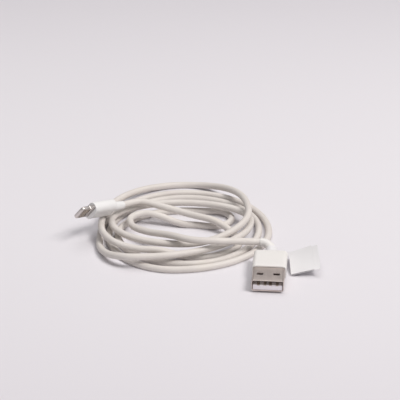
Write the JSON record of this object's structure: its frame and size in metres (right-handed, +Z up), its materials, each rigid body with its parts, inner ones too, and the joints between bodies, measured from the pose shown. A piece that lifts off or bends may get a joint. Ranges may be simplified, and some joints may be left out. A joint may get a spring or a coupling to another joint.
{
  "type": "charging cable",
  "caption": "Charging cable with a flat host plug, a slim device plug, a loosely coiled round cord and a folded film tag beside the host plug.",
  "frame": {"origin": "on the table, at the middle of the floor box round both plugs and the tag", "axes": "+X to the right along the longer side of that box, +Y to the back, +Z up"},
  "size_m": [0.0945, 0.0918, 0.0163],
  "materials": {
    "cord_jacket": "satin white cord jacket",
    "plug_plastic": "smooth white moulding",
    "plug_steel": "plain stamped steel",
    "tongue_plastic": "white insulator",
    "insert_plastic": "black moulding",
    "contact_gold": "gold-plated contact",
    "circuit_board": "green solder resist",
    "tag_film": "satin film",
    "wire_red": "red insulation",
    "wire_white": "white insulation",
    "wire_green": "green insulation",
    "wire_black": "black insulation"
  },
  "bodies": {
    "cord": {"cord_coil": "cord_jacket", "host_lead": "cord_jacket", "device_lead": "cord_jacket"},
    "host_plug": {"host_contact_1": "contact_gold", "host_contact_2": "contact_gold", "host_contact_3": "contact_gold", "host_contact_4": "contact_gold", "host_crimp": "plug_steel", "host_housing": "plug_plastic", "host_jacket_end": "cord_jacket", "host_shell": "plug_steel", "host_strain_relief": "plug_plastic", "host_tongue": "tongue_plastic", "host_wire_black": "wire_black", "host_wire_green": "wire_green", "host_wire_red": "wire_red", "host_wire_white": "wire_white", "tag_sleeve": "tag_film", "tag_tail": "tag_film"},
    "tag": {"tag_flag": "tag_film", "tag_back_leaf": "tag_film"},
    "device_plug": {"device_back_plate": "plug_plastic", "device_board": "circuit_board", "device_chip": "insert_plastic", "device_contact_a1": "contact_gold", "device_contact_a2": "contact_gold", "device_contact_a3": "contact_gold", "device_contact_a4": "contact_gold", "device_contact_a5": "contact_gold", "device_contact_a6": "contact_gold", "device_contact_a7": "contact_gold", "device_contact_a8": "contact_gold", "device_contact_b1": "contact_gold", "device_contact_b2": "contact_gold", "device_contact_b3": "contact_gold", "device_contact_b4": "contact_gold", "device_contact_b5": "contact_gold", "device_contact_b6": "contact_gold", "device_contact_b7": "contact_gold", "device_contact_b8": "contact_gold", "device_crimp": "plug_steel", "device_housing": "plug_plastic", "device_insert": "insert_plastic", "device_jacket_end": "cord_jacket", "device_shield_lower": "plug_steel", "device_shield_upper": "plug_steel", "device_strain_relief": "plug_plastic", "device_tip": "plug_steel", "device_wire_black": "wire_black", "device_wire_green": "wire_green", "device_wire_red": "wire_red", "device_wire_white": "wire_white"}
  },
  "joints": [
    {"name": "host_flex", "type": "hinge", "parent": "cord", "child": "host_plug", "pos_m": [0.0248, 0.0032, 0.0049], "axis": [0, 0, 1], "range_deg": [-15, 30], "stiffness_Nm_per_rad": 0.02, "deforming": ["host_lead"]},
    {"name": "tag_fold", "type": "hinge", "parent": "host_plug", "child": "tag", "pos_m": [0.03595, -0.0025, 0.0032], "axis": [0.0232, -0.9816, -0.1898], "range_deg": [0, 70], "stiffness_Nm_per_rad": 0.0001},
    {"name": "device_flex", "type": "hinge", "parent": "cord", "child": "device_plug", "pos_m": [-0.0289, 0.0279, 0.0086], "axis": [0, 0, 1], "range_deg": [-20, 20], "stiffness_Nm_per_rad": 0.02, "deforming": ["device_lead"]}
  ]
}
